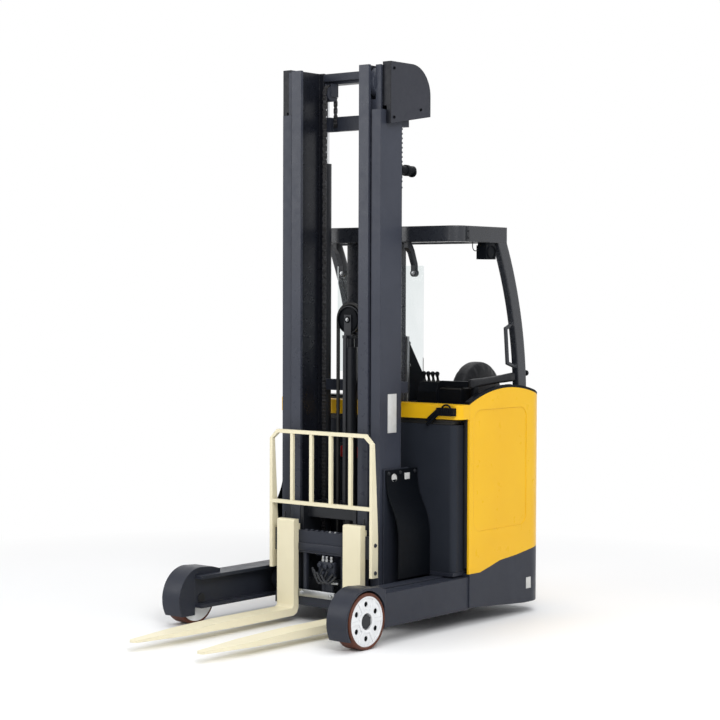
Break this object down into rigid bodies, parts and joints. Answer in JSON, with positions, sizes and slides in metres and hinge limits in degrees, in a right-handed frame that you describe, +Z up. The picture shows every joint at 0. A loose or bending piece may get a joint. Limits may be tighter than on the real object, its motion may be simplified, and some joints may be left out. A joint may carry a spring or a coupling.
{
  "type": "sit-on reach truck",
  "caption": "Side-seated reach truck with straddling legs, a reaching three-stage mast, tilting forks, an overhead guard and a steered drive wheel.",
  "frame": {"origin": "middle of the truck's length and width, on the floor", "axes": "+Z up, -Y towards the fork tips, +X to the truck's left"},
  "size_m": [1.27, 2.391, 2.98],
  "materials": {
    "yellow_paint": "semi-gloss yellow paint",
    "dark_paint": "satin dark grey paint",
    "black_paint": "satin black paint",
    "black_plastic": "grained black plastic",
    "cream_paint": "cream paint",
    "battery_case": "coated steel battery case",
    "bare_steel": "machined steel",
    "rod_chrome": "ground hard chrome",
    "chain_steel": "oiled steel chain",
    "hub_paint": "white paint",
    "wheel_tyre": "brown polyurethane",
    "seat_vinyl": "black vinyl",
    "hose_rubber": "hydraulic hose",
    "clear_screen": "clear sheet"
  },
  "bodies": {
    "chassis": {"leg_left": "dark_paint", "leg_right": "dark_paint", "wheel_guard_left": "dark_paint", "wheel_guard_right": "dark_paint", "load_axles": "black_paint", "chassis_skirt": "dark_paint", "chassis_base": "dark_paint", "battery": "battery_case", "battery_plug": "black_plastic", "side_panel": "yellow_paint", "rear_panel": "yellow_paint", "battery_cover": "yellow_paint", "cowl": "yellow_paint", "top_trim": "black_plastic", "footwell": "black_plastic", "seat_pedestal": "dark_paint", "seat_cushion": "seat_vinyl", "seat_back": "seat_vinyl", "hip_rail": "seat_vinyl", "dash_console": "black_plastic", "steering_wheel": "black_plastic", "guard_roof": "black_paint", "guard_pillars": "black_paint", "screen": "clear_screen", "screen_posts": "bare_steel", "screen_arms": "black_paint", "work_lamp": "black_plastic", "reach_barrel": "black_paint"},
    "reach_body": {"reach_carriage": "dark_paint", "reach_shields": "black_plastic", "reach_rod": "rod_chrome", "outer_mast": "dark_paint", "outer_ties": "dark_paint", "lift_barrels": "black_paint", "mast_lamp": "black_plastic"},
    "middle_stage": {"middle_mast": "dark_paint", "middle_head": "dark_paint", "lift_rods": "rod_chrome", "mast_covers": "black_plastic", "lift_chains": "chain_steel"},
    "inner_stage": {"inner_mast": "dark_paint", "inner_ties": "dark_paint", "free_lift_barrel": "black_paint"},
    "crosshead_body": {"crosshead": "black_paint", "mast_hoses": "hose_rubber"},
    "carriage_body": {"lift_carriage": "dark_paint"},
    "shift_body": {"shift_sleeve": "bare_steel"},
    "fork_body": {"fork_frame": "dark_paint", "load_backrest": "cream_paint", "fork_left": "cream_paint", "fork_right": "cream_paint"},
    "steer_body": {"drive_unit": "dark_paint"},
    "drive_wheel": {"drive_hub": "hub_paint", "drive_tyre": "wheel_tyre"},
    "wheel_left": {"load_hub_left": "hub_paint", "load_tyre_left": "wheel_tyre"},
    "wheel_right": {"load_hub_right": "hub_paint", "load_tyre_right": "wheel_tyre"}
  },
  "joints": [
    {"name": "reach_slide", "type": "slide", "parent": "chassis", "child": "reach_body", "axis": [0, -1, 0], "range_m": [0, 0.56]},
    {"name": "mast_lift", "type": "slide", "parent": "reach_body", "child": "middle_stage", "axis": [0, 0, 1], "range_m": [0, 2.1]},
    {"name": "inner_lift", "type": "slide", "parent": "middle_stage", "child": "inner_stage", "axis": [0, 0, 1], "range_m": [0, 2.1]},
    {"name": "free_lift", "type": "slide", "parent": "inner_stage", "child": "carriage_body", "axis": [0, 0, 1], "range_m": [0, 2.25]},
    {"name": "crosshead_lift", "type": "slide", "parent": "inner_stage", "child": "crosshead_body", "axis": [0, 0, 1], "range_m": [0, 1.125]},
    {"name": "side_shift", "type": "slide", "parent": "carriage_body", "child": "shift_body", "axis": [1, 0, 0], "range_m": [-0.075, 0.075]},
    {"name": "fork_tilt", "type": "hinge", "parent": "shift_body", "child": "fork_body", "pos_m": [0, 0.0655, 0.4], "axis": [1, 0, 0], "range_deg": [-4, 2]},
    {"name": "steer", "type": "hinge", "parent": "chassis", "child": "steer_body", "pos_m": [0.13, 0.9155, 0.45], "axis": [0, 0, 1], "range_deg": [-90, 90]},
    {"name": "drive_spin", "type": "hinge", "parent": "steer_body", "child": "drive_wheel", "pos_m": [0.13, 0.9155, 0.1715], "axis": [1, 0, 0], "continuous": true},
    {"name": "left_wheel_spin", "type": "hinge", "parent": "chassis", "child": "wheel_left", "pos_m": [0.585, -0.4145, 0.1425], "axis": [1, 0, 0], "continuous": true},
    {"name": "right_wheel_spin", "type": "hinge", "parent": "chassis", "child": "wheel_right", "pos_m": [-0.585, -0.4145, 0.1425], "axis": [1, 0, 0], "continuous": true}
  ],
  "couplings": [
    {"joint": "inner_lift", "follows": "mast_lift", "ratio": 1},
    {"joint": "crosshead_lift", "follows": "free_lift", "ratio": 0.5}
  ]
}
